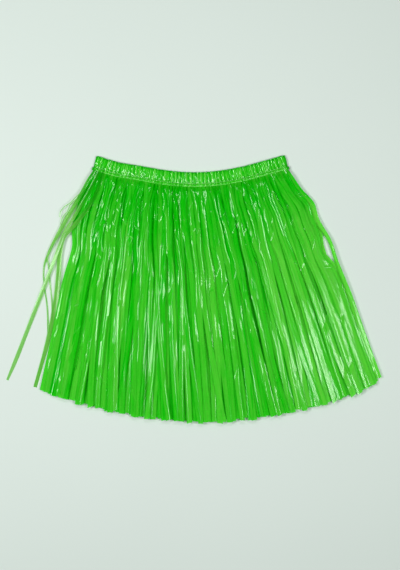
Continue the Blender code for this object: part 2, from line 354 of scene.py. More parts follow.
def slit_grid(name, strips, across, rows, heading=1):
    """A sheet of cells, slit between strips below as many rows of cells as the heading has."""
    columns = strips * across - 1
    bpy.ops.mesh.primitive_grid_add(x_subdivisions=columns, y_subdivisions=rows - 1, size=2.0)
    sheet = bpy.context.object
    sheet.name = sheet.data.name = name
    mesh = sheet.data
    column, row = grid_index(mesh, columns, rows - 1)
    slit = slit_faces(mesh, columns, rows - 1, across, heading)
    keep_points(mesh, column, row)
    bpy.ops.object.mode_set(mode="EDIT")
    bpy.ops.mesh.select_all(action="DESELECT")
    bpy.ops.object.mode_set(mode="OBJECT")
    mesh.polygons.foreach_set("select", slit)
    bpy.ops.object.mode_set(mode="EDIT")
    bpy.ops.mesh.select_mode(type="FACE")
    bpy.ops.mesh.delete(type="ONLY_FACE")
    bpy.ops.mesh.select_all(action="SELECT")
    bpy.ops.mesh.delete_loose()
    bpy.ops.object.mode_set(mode="OBJECT")
    return sheet


# %% Place the points and thicken the film
FILM_THICKNESS = 0.14
SHARP_CREASE = 14.0


def finish_film(sheet, places, tones, material):
    """Put a sheet's points in place and give the film its thickness."""
    mesh = sheet.data
    mesh.vertices.foreach_set("co", on_table(places).ravel())
    tone = mesh.attributes.new("tone", "FLOAT", "POINT")
    tone.data.foreach_set("value", tones)
    for label in ("column", "row"):
        mesh.attributes.remove(mesh.attributes[label])
    mesh.materials.append(material)
    mesh.update()
    bpy.ops.object.select_all(action="DESELECT")
    sheet.select_set(True)
    bpy.context.view_layer.objects.active = sheet
    wall = sheet.modifiers.new("film", "SOLIDIFY")
    wall.thickness = FILM_THICKNESS * MM
    wall.offset = 0.0
    bpy.ops.object.modifier_apply(modifier=wall.name)
    bpy.ops.object.shade_smooth_by_angle(angle=math.radians(SHARP_CREASE))
    print(sheet.name, "faces:", len(sheet.data.polygons))
    return sheet


# %% [markdown]
# ## The five layers
#
# Two layers make the back and three the front. The lower ones are plain and
# flat, because only their edges show. The top one has the strongest creases,
# the most folds and the freest strips.

# %% The habits of the layers
STRIP_WIDTH = 9.0
# strips: how many; cells: facets across one; plain: rows of points between two kinks.
# In mm, root: height at the heading; lift: height of the pile's puff; roll: how uneven that is;
# rise: a bulge just below the heading; short: how much shorter the strips are.
# sway: how far strips drift into bunches, as a share of the fan; phase: where the bunches are;
# loose: how far one strip strays, in strip spacings; inset: how far the sides are drawn in.
# crumple: how strong the creases and kinks are; fold, gutter: the shares of the strips with a
# folded edge or a deep gutter; dents: bright creases on each strip; shade: painted shade added
# to the tone, strongest near the waist.
# PLAIN says what a layer is like where its own row says nothing.
PLAIN = dict(cells=4, plain=3, lift=0.0, roll=0.0, rise=0.0, gutter=0.0, dents=0, shade=0.0)
LAYERS = {
    "back_fringe_under": dict(
        PLAIN, strips=48, root=0.15, short=4.0, sway=0.006, phase=0.2, loose=0.3, inset=0.016,
        crumple=0.15, fold=0.2),
    "back_fringe_upper": dict(
        PLAIN, strips=48, root=1.35, short=3.0, sway=0.008, phase=2.1, loose=0.6, inset=0.014,
        crumple=0.3, fold=0.25, roll=0.9),
    "front_fringe_under": dict(
        PLAIN, strips=52, root=2.6, short=2.0, sway=0.01, phase=4.0, loose=1.2, inset=0.012,
        crumple=0.5, fold=0.25, plain=4, lift=1.1, roll=1.0, gutter=0.1, shade=-0.2),
    "front_fringe_middle": dict(
        PLAIN, strips=54, root=3.85, short=1.0, sway=0.01, phase=5.4, loose=2.6, inset=0.01,
        crumple=0.8, fold=0.35, cells=6, plain=6, lift=2.5, roll=1.4, gutter=0.15, dents=2, shade=-0.1),
    "front_fringe_top": dict(
        PLAIN, strips=56, root=5.1, short=0.0, sway=0.009, phase=1.2, loose=3.2, inset=0.0,
        crumple=1.0, fold=0.42, cells=8, plain=7, lift=4.5, roll=2.2, rise=0.9, gutter=0.2, dents=5),
}
print("strips in all:", sum(layer["strips"] for layer in LAYERS.values()))


def ease(x):
    """0 below 0, 1 above 1, and a smooth step between."""
    x = np.clip(x, 0.0, 1.0)
    return x * x * (3 - 2 * x)


def drifting(draw, rows, waves):
    """A value that wanders between about -1 and 1 along the strip."""
    first, second = draw.uniform(0.0, 6.3), draw.uniform(0.0, 6.3)
    slow = 0.65 * np.sin(6.3 * waves * rows + first)
    return slow + 0.45 * np.sin(6.3 * 2.3 * waves * rows + second)


def is_edge_strip(layer, u):
    """Whether this is the top layer's last strip, which runs free along the right side."""
    return u > 1.0 - 1.0 / layer["strips"] and layer["inset"] == 0.0


# %% [markdown]
# ## Kinks
#
# Film that was folded in its bag keeps a short ridge straight or slanting across
# the strip, and each ridge gives one small bright fleck. Most kinks are in the
# upper half. Rows of points are close round a kink and far apart elsewhere, so
# that few faces are spent where the strip is smooth.

# %% Draw the kinks
KINK_ROWS = (-4.0, -1.5, 0.0, 1.5, 4.0)
KINK_SHAPE = (0.0, 0.45, 1.0, 0.45, 0.0)
KINK_HEIGHT = 0.8
KINK_SIZES = (0.85, 1.35)
KINK_SLANTS = (0.6, 2.6)
KINK_REACH = 22.0
NO_KINK_HEIGHT = 0.04
# Where along the strip each kink may come, from and to, and how often one shows there.
KINK_PLACES = (
    (0.07, 0.15, 0.45), (0.17, 0.28, 0.55), (0.34, 0.47, 0.4), (0.54, 0.70, 0.12), (0.78, 0.93, 0.12),
)


def draw_kinks(draw):
    """Where the strip is kinked, how high each kink stands and how it slants across the strip."""
    kinks = []
    for first, last, share in KINK_PLACES:
        slant = draw.choice([-1, 1]) * draw.uniform(*KINK_SLANTS)
        height = KINK_HEIGHT * draw.uniform(*KINK_SIZES) / math.sqrt(1.0 + slant * slant)
        if draw.random() > share:
            height = NO_KINK_HEIGHT
        kinks.append((draw.uniform(first, last), draw.choice([-1, 1]) * height, slant))
    return kinks


def row_places(kinks, plain):
    """Parts of a strip's length for its rows: close round each kink, even between them."""
    stops = [0.0]
    for place, _, _ in kinks:
        start = place + KINK_ROWS[0] / STRIP_LENGTH
        stops += list(np.linspace(stops[-1], start, plain + 1)[1:])
        stops += [place + step / STRIP_LENGTH for step in KINK_ROWS[1:]]
    stops += list(np.linspace(stops[-1], 1.0, plain + 1)[1:])
    return np.array(stops)


def add_kinks(layer, run, kinks, free, across, height):
    """Raise the ridge of each kink, and return how far it slants the points along the strip."""
    shift = np.zeros_like(across)
    for kink, rise, slant in kinks:
        away = run - kink * STRIP_LENGTH
        ridge = np.interp(away, KINK_ROWS, KINK_SHAPE)
        height += (layer["crumple"] * rise * ridge * free)[:, None]
        shift += slant * across * np.exp(-((away / KINK_REACH) ** 2))[:, None]
    return shift


print("rows of points at a kink:", len(KINK_ROWS))

# %% [markdown]
# ## How one strip lies
#
# A strip is film, 9 mm wide and about 380 mm long. Seen from its end it is a
# chain of narrow facets, each with its own slope. Slopes that grow from one edge
# to the other make a gutter, two steep ones side by side make a crease that
# catches light, and one that is turned right over makes a folded edge. A chain
# of slopes keeps the strip's width, as real film does, however crumpled it is.
#
# A lamp shows in a facet as a long white streak, where the slope turns its light
# up to the camera. So the creases on the right face the right lamp, those on the
# left the left lamp, and in the middle they face both ways.

# %% Slopes across a strip
BUSY_SIDE = 0.72
LEFT_PART = 0.25
# Along the strip in mm: the first and the last place of a crease, and the most common one.
CREASE_PLACES = (20.0, 375.0, 250.0)
# Half the length in mm and the slope of a crease, on the right and elsewhere.
BUSY_CREASE = ((20.0, 66.0), (0.08, 0.2))
CREASE = ((8.0, 36.0), (0.15, 0.32))
CREASE_FADE = 10.0
STRONG_KINK = 0.1
FOLD_SLOPES = (2.7, 2.95)
FOLD_FADE = 30.0


def gutter_sweep(draw, layer, rows, u):
    """How far the slopes change from one edge of the strip to the other, row by row."""
    run = rows * STRIP_LENGTH
    bend = drifting(draw, rows, draw.uniform(0.5, 1.1))
    sweep = layer["crumple"] * (0.15 + 0.3 * bend)
    if draw.random() < layer["gutter"]:
        sweep = layer["crumple"] * draw.choice([-1, 1]) * (1.3 + 0.3 * bend)
    if is_edge_strip(layer, u):
        sweep = sweep + 1.9 * np.exp(-((run - 150.0) / 60.0) ** 2)
    roped = layer["crumple"] * draw.uniform(-2.4, 1.6) * ease(run / 30.0)
    return sweep + roped * (1.0 - ease((run - draw.uniform(50.0, 150.0)) / 90.0))


def add_creases(draw, layer, slopes, run, u):
    """Give two facets side by side one slope for a stretch, so that they mirror a lamp."""
    busy = u > BUSY_SIDE
    ways = [-1] if busy else [1] if u < LEFT_PART else [-1, 1]
    halves, steepness = BUSY_CREASE if busy else CREASE
    for _ in range(layer["dents"]):
        centre = draw.triangular(*CREASE_PLACES)
        half = draw.uniform(*halves)
        shown = ease((half - np.abs(run - centre)) / CREASE_FADE)
        slope = draw.choice(ways) * draw.uniform(*steepness)
        cell = draw.randrange(layer["cells"] - 1)
        slopes[:, cell:cell + 2] += (slope - slopes[:, cell:cell + 2]) * shown[:, None]


def flatten_at_kinks(slopes, run, kinks):
    """Flatten the facets round each strong kink, where film can't bend both ways."""
    for kink, rise, _ in kinks:
        if abs(rise) > STRONG_KINK:
            slopes *= 1.0 - 0.8 * np.exp(-(((run - kink * STRIP_LENGTH) / 14.0) ** 2))[:, None]


def fold_one_edge(draw, slopes, run):
    """Turn the facet at one edge right over, down all or part of the strip."""
    begin = draw.uniform(-40.0, 160.0)
    finish = draw.choice([500.0, draw.uniform(200.0, 340.0)])
    share = ease((run - begin) / FOLD_FADE) * ease((finish - run) / FOLD_FADE)
    flap = draw.choice([0, slopes.shape[1] - 1])
    slopes[:, flap] += draw.choice([-1, 1]) * draw.uniform(*FOLD_SLOPES) * share


def strip_slopes(draw, layer, rows, u, kinks):
    """The slope of each facet across the strip in radians, row by row."""
    run = rows * STRIP_LENGTH
    cells = layer["cells"]
    place = (np.arange(cells) + 0.5) / cells - 0.5
    slopes = gutter_sweep(draw, layer, rows, u)[:, None] * place[None, :]
    add_creases(draw, layer, slopes, run, u)
    flatten_at_kinks(slopes, run, kinks)
    if draw.random() < layer["fold"]:
        fold_one_edge(draw, slopes, run)
    return slopes


def strip_section(slopes):
    """The facets' chain: across and height of each point of each row, in mm."""
    rows, cells = slopes.shape
    step = STRIP_WIDTH / cells
    chain = np.zeros((rows, cells + 1, 2))
    chain[:, 1:, 0] = np.cumsum(np.cos(slopes), axis=1) * step
    chain[:, 1:, 1] = np.cumsum(np.sin(slopes), axis=1) * step
    chain[:, :, 0] -= chain[:, [cells // 2], 0]
    chain[:, :, 1] -= chain[:, :, 1].min(axis=1, keepdims=True)
    return chain[:, :, 0], chain[:, :, 1]


flat_across, _ = strip_section(np.zeros((1, 8)))
print("width of a flat strip in mm:", round(float(np.ptp(flat_across)), 2))

# %% [markdown]
# Seen from above a strip hardly ever runs straight. Strips drift together in
# bunches, each leans and bows a little of its own, and just below the heading
# they jog sideways. On the right one strip runs free along the side, and the
# ones next to it draw back from it and leave a slot.

# %% A strip's way down the skirt
SLOT_SIDE = 0.975
SLOT_FADE = 0.04
SLOT_WIDTH = 0.023
SLOT_PLACE = 0.385
SLOT_HALF = 0.062
EDGE_HOLD = 8.0


def strip_path(draw, layer, u, t):
    """Row by row: the strip's share of the fan, its middle line, and its direction there."""
    pitch = 1.0 / layer["strips"]
    inside = min(1.0, EDGE_HOLD * min(u, 1.0 - u))
    bunch = math.sin(4 * math.pi * u + layer["phase"])
    bunch += 0.25 * math.sin(10 * math.pi * u + 2 * layer["phase"])
    lean = draw.uniform(-1.0, 1.0) * draw.choice([1.0, 1.0, 1.0, 2.0])
    bow = draw.uniform(-0.5, 0.5)
    jog = draw.uniform(-0.5, 0.5) * ease(t / 0.09) * (1.0 - ease((t - 0.1) / 0.4))
    stray = lean * t ** 1.2 + bow * np.sin(math.pi * t) + jog + 0.03 * drifting(draw, t, 2.0)
    side = u + inside * (layer["sway"] * t * bunch + pitch * layer["loose"] * 0.5 * stray)
    side = 0.5 + (side - 0.5) * (1.0 - 2.0 * layer["inset"] * ease((t - 0.12) / 0.2))
    if not is_edge_strip(layer, u):
        near = math.exp(-max(0.0, SLOT_SIDE - u) / SLOT_FADE)
        side = side - SLOT_WIDTH * np.exp(-((t - SLOT_PLACE) / SLOT_HALF) ** 2) * near
    middle = fan_point(side, t)
    along = np.gradient(middle, axis=0)
    along /= np.linalg.norm(along, axis=1, keepdims=True)
    return side, middle, along


# %% [markdown]
# At the heading the film is gathered: its facets zigzag, so that 9 mm of strip
# take up only 6 mm or so of waist. Some strips keep this zigzag as pleats for a
# few centimetres. The pile then puffs up over the layers below and comes down
# to the table along its sides.

# %% Pleats and height
GATHERED_SHARE = 0.97
PLEAT_SLOPE = 0.28
LOWEST = 0.1


def heading_pleats(draw, layer, run, u):
    """The slope of the zigzag that gathers the strip, row by row."""
    gathered = math.acos(GATHERED_SHARE * WAIST_LENGTH / layer["strips"] / STRIP_WIDTH)
    pleats_end = draw.choice([8.0, 14.0, 24.0, draw.uniform(40.0, 120.0)])
    zigzag = gathered * (1 - ease((run - draw.uniform(0.0, 4.0)) / pleats_end))
    if math.sin(23.0 * u + layer["phase"]) + draw.uniform(-0.6, 0.6) > 0.3:
        pleated = 1 - ease((run - draw.uniform(14.0, 44.0)) / 6.0)
        zigzag = np.maximum(zigzag, PLEAT_SLOPE * draw.uniform(0.6, 1.3) * pleated)
    return zigzag


def pile_height(draw, layer, u, side, t, run):
    """How high the strip lies in mm, row by row, on the layers below it."""
    turn = draw.uniform(0.0, 6.3) + 6.3 * draw.uniform(0.6, 1.6) * t
    level = 0.2 + 0.2 * np.sin(turn) + 0.6 * draw.random()
    thin = ease((t - 0.05) / 0.15) * (1.0 - ease(min(u, 1.0 - u) / 0.06))
    root = layer["root"] * (1.0 - 0.7 * thin)
    ground = root + (layer["lift"] + layer["roll"] * level) * puff(side, t)
    return ground + layer["rise"] * np.exp(-(((run - 8.0) / 9.0) ** 2))


# %% All points of a strip
HEM_UNEVEN = (0.0, 5.0)
TIP_SLANTS = (-0.25, 0.25)
TIP_START = 0.9
TIP_SHARE = 0.1
KINKS_FREE_BELOW = 0.3


def strip_points(draw, layer, index):
    """All points of one strip: its upper edge in the heading, then its rows down to the hem."""
    cells = layer["cells"]
    pitch = 1.0 / layer["strips"]
    u = (index + 0.5) * pitch
    kinks = draw_kinks(draw)
    rows = row_places(kinks, layer["plain"])
    run = rows * STRIP_LENGTH
    t = rows * (1.0 - (layer["short"] + draw.uniform(*HEM_UNEVEN)) / STRIP_LENGTH)
    side, middle, along = strip_path(draw, layer, u, t)
    zigzag = heading_pleats(draw, layer, run, u)
    tilt = layer["crumple"] * 0.05 * drifting(draw, rows, draw.uniform(0.5, 1.2)) * ease(run / 60.0)
    slopes = strip_slopes(draw, layer, rows, u, kinks) + tilt[:, None]
    slopes += zigzag[:, None] * (1 - 2 * (np.arange(cells) % 2))
    across, height = strip_section(slopes)
    shift = add_kinks(layer, run, kinks, 1.0 - ease(zigzag / KINKS_FREE_BELOW), across, height)
    cut = ease((rows - TIP_START) / TIP_SHARE)
    shift += draw.uniform(*TIP_SLANTS) * across * cut[:, None]
    ground = pile_height(draw, layer, u, side, t, run)
    ways = np.stack([-along[:, 1], along[:, 0]], axis=1)
    plan = middle[:, None, :] + ways[:, None, :] * across[:, :, None]
    plan = plan + along[:, None, :] * shift[:, :, None]
    level = np.maximum(ground[:, None] + height, LOWEST)
    places = np.concatenate([plan, level[:, :, None]], axis=2)
    edge_u = np.clip(u + np.linspace(-0.49, 0.49, cells + 1) * pitch, 0.0, 1.0)
    edge = below_waist(edge_u, np.full(cells + 1, HEADING_TOP))
    edge = np.concatenate([edge, places[0, :, 2:3]], axis=1)
    return np.concatenate([edge[None], places], axis=0)


# %% [markdown]
# ## Whole layers
#
# A layer's strips are drawn one after the other from one seed, so the skirt is
# the same each time. Each has its own tone, with painted shade at its two edges,
# where the film turns away, and painted light towards the hem, where fewer strips
# lie together. Painted shade also deepens the lower layers near the waist, and
# painted light lifts the strips just below the heading, in the shade of the lip.

# %% Film layers
STRIP_TONES = (0.34, 0.56)
# Painted light towards the hem, where fewer strips lie together: a random amount for each strip, more on
# the busy right side, and most on the free strip along the right edge.
HEM_PAINTED_LIGHT = (0.05, 0.3)
BUSY_SIDE_PAINTED_LIGHT = 0.2
EDGE_STRIP_PAINTED_LIGHT = 0.5
# Painted shade at a strip's two edges, where the film turns away.
PAINTED_EDGE_SHADE = 0.35
# Painted light on the first rows below the heading, in the shade of the casing's lip.
HEADING_PAINTED_LIGHT = 0.3


def strip_tones(draw, layer):
    """For each strip, its own tone, and the painted light it gets towards the hem."""
    tones = np.array([draw.uniform(*STRIP_TONES) for _ in range(layer["strips"])])
    busy_from = BUSY_SIDE * layer["strips"]
    hem_light = np.array([draw.uniform(*HEM_PAINTED_LIGHT) + (BUSY_SIDE_PAINTED_LIGHT if index > busy_from else 0.0)
                        for index in range(layer["strips"])])
    hem_light[-1] += EDGE_STRIP_PAINTED_LIGHT
    return tones, hem_light


def film_layer(name, layer, material):
    """A whole layer of slit film, as one sheet."""
    draw = random.Random(name)
    across = layer["cells"] + 1
    points = np.stack([strip_points(draw, layer, index) for index in range(layer["strips"])])
    tones, hem_light = strip_tones(draw, layer)
    sheet = slit_grid("film_" + name, layer["strips"], across, points.shape[1])
    column = read_points(sheet.data, "column")
    row = read_points(sheet.data, "row")
    strip = column // across
    places = points[strip, row, column % across]
    # A mask, 1 at a strip's two edges, for their painted shade.
    edge = np.abs(2.0 * (column % across) / (across - 1) - 1.0) ** 6
    run = row / (points.shape[1] - 1) * STRIP_LENGTH
    away = ease((run - 20.0) / 200.0)
    # Painted shade from the layer and at the edges, strongest near the waist.
    tone = tones[strip] + (layer["shade"] - PAINTED_EDGE_SHADE * edge) * (1.0 - 0.7 * away)
    # Painted light towards the hem.
    tone = tone + hem_light[strip] * away
    # Painted light on the first rows, in the lip's shade.
    tone += HEADING_PAINTED_LIGHT * (1.0 - ease(run / 14.0))
    return finish_film(sheet, places, tone, material)


# %% Lay the five layers
for layer_name, layer in LAYERS.items():
    sheet = film_layer(layer_name, layer, FRINGE_FILM)
    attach(sheet, "root")
    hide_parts(layer_name + "_left", layer_name + "_right")

# %% [markdown]
# ## Strays and filaments
#
# On the left three strips have slipped out of the fan, and three thin filaments
# that tore off a strip's edge cross them. They are single film over the pale
# surface, and the light that comes back through them is painted into their colour:
# paler and more olive than the pile. Each has a path of its own, because these
# are the strips one recognises.

# %% Their paths
# Each stop of a path: x, y and height of the middle line, and the width there.
STRAYS = {
    "front_stray_curl": (
        (-158, 190, 7.2, 5), (-168, 176, 7.6, 4.8), (-180, 154, 8, 4.8),
        (-192, 134, 7.6, 5), (-204.6, 113.6, 5.8, 4.8), (-219, 86.4, 4.6, 4.8),
        (-233, 57.6, 2.6, 4), (-240.4, 36.8, 1.2, 2.4), (-241.4, 22, 0.6, 2),
        (-240, 4, 0.4, 2), (-236, -24, 0.4, 2.2), (-234, -70, 0.3, 3),
    ),
    "front_stray_long": (
        (-152, 188, 7.2, 5.2), (-161, 170, 7.9, 5.2), (-174, 147, 8.7, 5.2),
        (-185, 127, 9.2, 5), (-196, 108, 9, 4.6), (-207, 91.2, 8, 4.4),
        (-215, 70, 6.8, 5), (-231, 28, 4.4, 5.6), (-248, -16, 2.8, 6),
        (-268, -68, 1.2, 5.8), (-288.5, -120, 0.5, 5.8), (-299.5, -145.6, 0.2, 3.6),
    ),
    "front_stray_wide": (
        (-146, 186, 7.2, 5.2), (-151, 168, 7.9, 5.2), (-159, 148, 8.7, 5.4),
        (-175, 122, 9.4, 5.6), (-196, 97, 9.4, 6.4), (-209, 82, 6.8, 6.6),
        (-214, 62, 4.6, 6.8), (-217, 27, 3.4, 7.4), (-221.5, -18, 2.4, 8),
        (-234, -80, 1.4, 6.4), (-255, -157, 0.2, 5.6),
    ),
    "filament_inner": (
        (-166, 172, 7.8, 1.4), (-182, 144, 8.2, 1.4), (-197, 120, 7.8, 1.4),
        (-214, 90, 6.4, 1.5), (-228, 66, 4.8, 1.6), (-234.6, 50, 3.4, 1.8),
        (-232.6, 32, 2.2, 1.8), (-230.6, 4, 1.4, 1.8), (-228, -20, 1.2, 1.8),
        (-228, -50, 1, 1.8),
    ),
    "filament_outer": (
        (-168, 164, 8.2, 1), (-178, 156, 8.4, 1.1), (-189, 147, 8.2, 1.2),
        (-198, 137.6, 6.6, 1.2), (-208.6, 130.6, 5, 1.3), (-214, 123, 4.4, 1.3),
        (-215.6, 115, 4, 1),
    ),
    "filament_lower": (
        (-176, 154, 8.6, 1), (-189, 143, 8.4, 1.1), (-198.6, 134, 6.4, 1.2),
        (-202, 125.6, 5, 1.2), (-211.4, 113.2, 4.2, 1.3), (-213.4, 106, 4, 1.3),
        (-213, 97, 3.8, 1),
    ),
}
# Their tones, in the same order: how pale each is painted, for the light that comes back
# through it from the surface.
STRAY_TONES = (0.45, 0.85, 0.4, 0.5, 0.6, 0.6)
print("strays and filaments:", len(STRAYS))

# %% Stray strips
STRAY_ROWS = 70
STRAY_ACROSS = 5
FULL_WIDTH = 5.0
STRAY_TILT = 0.5
STRAY_LIFT = 0.1


def stray_points(name, stops):
    """A single strip along its own path: its points, its length and its mean width."""
    draw = random.Random(name)
    t = np.linspace(0.0, 1.0, STRAY_ROWS)
    path = smooth_curve(stops)(t)
    along = np.gradient(path[:, :2], axis=0)
    along /= np.linalg.norm(along, axis=1, keepdims=True)
    ways = np.stack([-along[:, 1], along[:, 0]], axis=1)
    s = np.linspace(-1.0, 1.0, STRAY_ACROSS)[None, :]
    phase = draw.uniform(0.0, 6.0)
    scale = np.minimum(path[:, 3:4] / FULL_WIDTH, 1.0)
    tilt = STRAY_TILT * np.sin(9.0 * t + phase)[:, None] * s * scale
    curl = STRAY_TILT * np.sin(5.0 * t + 2.0 * phase)[:, None] * (s * s) * scale
    height = np.maximum(path[:, 2:3] + STRAY_LIFT + tilt + curl, LOWEST)
    plan = path[:, None, :2] + ways[:, None, :] * (s * path[:, 3:4] / 2)[:, :, None]
    length = float(np.sum(np.linalg.norm(np.diff(path[:, :3], axis=0), axis=1))) * MM
    return np.concatenate([plan, height[:, :, None]], axis=2), length, float(np.mean(path[:, 3])) * MM


def stray_film(material):
    """The strays as one piece of slit strips, its area and the longest one's length."""
    made = [stray_points(name, stops) for name, stops in STRAYS.items()]
    points = np.stack([entry[0] for entry in made])
    sheet = slit_grid("film_front_strays", len(made), STRAY_ACROSS, STRAY_ROWS, heading=0)
    column = read_points(sheet.data, "column")
    row = read_points(sheet.data, "row")
    places = points[column // STRAY_ACROSS, row, column % STRAY_ACROSS]
    # Painted light: near the waist, where a stray lies on the pile, its tone falls to 0, the pile's
    # green that shows through it.
    free = ease((row / (STRAY_ROWS - 1) - 0.12) / 0.2)
    tones = np.array(STRAY_TONES)[column // STRAY_ACROSS]
    sheet = finish_film(sheet, places, tones * free, material)
    area = sum(length * width for _, length, width in made)
    return sheet, area, max(length for _, length, _ in made)


strays, stray_area, stray_length = stray_film(STRAY_FILM)
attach(strays, "root")
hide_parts("front_stray_curl", "front_stray_long", "front_stray_wide")

# %% [markdown]
# ## The gathered casing
#
# The film is folded over the elastic, sewn below it and drawn up, so it stands in
# small uneven gathers. Under the seam its edge runs on over the heading of the
# fringe and is sewn once more. One grid, rolled into a flat ring, has the right
# form: its columns go round the waist and its rows go down the outside, back
# under the edge and up the inside.

# %% Gathers of the casing
GATHERS = 53
PER_GATHER = 8
GATHER_RIDGE = 1.3
SEAM_ROWS = (19.0, 23.4)
LIP_END = 24.6
SEAM_PINCH = 2.2
PUCKER_HEIGHT = 0.5
PUCKER_REACH = 1.6
PUCKER_PITCH = 3.0


def draw_gathers(draw):
    """The gathers' heights along the waist, one value a station, from 0 in a fold to about 1."""
    heights = []
    for _ in range(GATHERS):
        peak, lean = draw.uniform(0.55, 1.1), draw.uniform(0.2, 0.4)
        second, place = draw.uniform(0.1, 0.9), draw.uniform(0.65, 0.8)
        for step in range(PER_GATHER):
            part = step / PER_GATHER
            main_ridge = peak * max(0.0, 1.0 - abs(part - lean) / 0.3)
            side_ridge = second * max(0.0, 1.0 - abs(part - place) / 0.22)
            heights.append(max(main_ridge, side_ridge))
    return np.array(heights + [0.0])


def gather_at(heights, run, below):
    """Height of the gathers in mm at a place along the waist and below its top edge."""
    stations = np.linspace(0.0, WAIST_LENGTH, len(heights))
    crooked = run + 0.8 * np.sin(below / 3.3 + run * 0.21) + 0.5 * np.sin(below / 1.4 + run * 0.5)
    ridge = np.interp(np.clip(crooked, 0.0, WAIST_LENGTH), stations, heights)
    pinch = min(abs(below - row) for row in SEAM_ROWS)
    open_share = 0.35 + 0.65 * (1.0 - math.exp(-(pinch / SEAM_PINCH) ** 2))
    pucker = PUCKER_HEIGHT * math.exp(-(pinch / PUCKER_REACH) ** 2)
    return GATHER_RIDGE * open_share * ridge + pucker * np.abs(np.sin(math.pi * run / PUCKER_PITCH))


gather_heights = draw_gathers(random.Random("casing"))
print("gathers' mean height in mm:", round(float(gather_heights.mean()) * GATHER_RIDGE, 2))

# %% The casing's section
WAIST_SLOT = 0.5
CASING_WALL = 1.9
CASING_HALF = WAIST_SLOT / 2 + CASING_WALL
LIP_RISE = 1.7
LIP_THICKNESS = 0.2
BACK_RELIEF = 0.1
BACK_SINK = 0.7
# Rows of the outside: how far below the top edge, how far out of the wall, how much gather.
CASING_OUTSIDE = (
    (0, -1, 0.3), (0.25, -0.5, 0.6), (0.9, -0.15, 0.9), (2, 0, 1), (3.5, 0.1, 1),
    (5.5, 0.15, 1), (7.5, 0.2, 1), (9.5, 0.2, 1), (11.5, 0.2, 1), (13.5, 0.1, 1),
    (15.5, 0, 1), (17, -0.1, 1), (18.2, -0.3, 1), (19, -0.4, 1), (19.7, 0.6, 1),
    (20.4, 1.4, 1), (21.4, 1.7, 1), (22.4, 1.6, 1), (23.4, 1.2, 0.8), (24, 1.2, 0.5),
    (LIP_END, 1, 0.4),
)
# Rows of the inside: how far below the top edge, and whether still under the lip.
CASING_INSIDE = (
    (LIP_END, True), (22, True), (19.9, True), (19, False), (12, False), (5, False), (0.6, False),
)


def casing_reach(heights, run, below, out, share, front):
    """How far the casing's outside stands from the middle of the waist slot."""
    folds = share * gather_at(heights, run, below)
    lying = np.minimum(CASING_HALF + out * BACK_RELIEF - BACK_SINK * (GATHER_RIDGE - folds), CASING_HALF)
    return np.where(front, CASING_HALF + out + folds, np.minimum(lying, CASING_HALF - 0.02))


def inside_reach(front, under_lip):
    """How far the inside stands from the middle: the lip's underside, or the slot's wall."""
    if under_lip:
        return np.where(front, CASING_HALF + LIP_RISE - LIP_THICKNESS, CASING_HALF - 1.2 * LIP_THICKNESS)
    return np.full(len(front), WAIST_SLOT / 2)


print("rows round the casing's section:", len(CASING_OUTSIDE) + len(CASING_INSIDE))

# %% Roll the casing
FOLD_STEPS = 9
SCALLOP_DEPTH = 0.9
SCALLOP_REACH = 0.8


def ring_stations(count):
    """Stations round the flat ring: their share of the waist, and their angle in its section."""
    parts = np.linspace(0.0, 1.0, count)
    turns = np.linspace(0.0, 180.0, FOLD_STEPS + 2)[1:-1]
    u = np.concatenate([parts, np.ones(FOLD_STEPS), parts[::-1], np.zeros(FOLD_STEPS)])
    degrees = [np.full(count, 90.0), 90.0 - turns, np.full(count, -90.0), -90.0 - turns]
    return u, np.radians(np.concatenate(degrees))


def casing_places(heights, u, angle):
    """The casing's points in mm: for each station its rows, down the outside and up the inside."""
    front = np.sin(angle) > -0.5
    along, down = waist_way(u)
    top = waist_top(u)
    run = u * WAIST_LENGTH
    rows = [(below, casing_reach(heights, run, below, out, share, front))
            for below, out, share in CASING_OUTSIDE]
    rows += [(below, inside_reach(front, under_lip)) for below, under_lip in CASING_INSIDE]
    places = np.zeros((len(u), len(rows), 3))
    for index, (below, reach) in enumerate(rows):
        valley = 1.0 - gather_at(heights, run, below) / GATHER_RIDGE
        scallop = SCALLOP_DEPTH * valley * math.exp(-below / SCALLOP_REACH)
        sideways = along * (reach * np.cos(angle))[:, None]
        places[:, index, :2] = top + down * (below + scallop)[:, None] + sideways
        places[:, index, 2] = np.maximum(CASING_HALF + reach * np.sin(angle), 0.0)
    return places


u_round, angle_round = ring_stations(len(gather_heights))
casing_points = casing_places(gather_heights, u_round, angle_round)
print("casing's height on the table in mm:", round(float(casing_points[:, :, 2].max()), 1))

# %% [markdown]
# Merging the grid's first and last column closes the ring. Its tone is painted: light on
# the gathers' ridges and shade in their valleys, the shade deepest at the top edge and at
# the upper seam.

# %% Make the casing
# Painted light on the gathers' ridges and painted shade in their valleys: the shade is deepest at the
# top edge and at the upper seam.
CASING_TONE = 0.9
VALLEY_PAINTED_SHADE = 0.7
TOP_PAINTED_SHADE = (0.9, 2.6)
SEAM_PAINTED_SHADE = (0.25, 1.5)
SHARP_GATHER = 30.0


def casing_painted_shading(heights, u, depth):
    """Painted light and shade of the film at a station of the waist and a depth below the top edge."""
    stations = np.linspace(0.0, WAIST_LENGTH, len(heights))
    valley = 1.0 - np.clip(np.interp(u * WAIST_LENGTH, stations, heights), 0.0, 1.0)
    dark = TOP_PAINTED_SHADE[0] * np.exp(-((depth / TOP_PAINTED_SHADE[1]) ** 2))
    dark = dark + SEAM_PAINTED_SHADE[0] * np.exp(-(((depth - SEAM_ROWS[0]) / SEAM_PAINTED_SHADE[1]) ** 2))
    return CASING_TONE - VALLEY_PAINTED_SHADE * valley - dark * valley


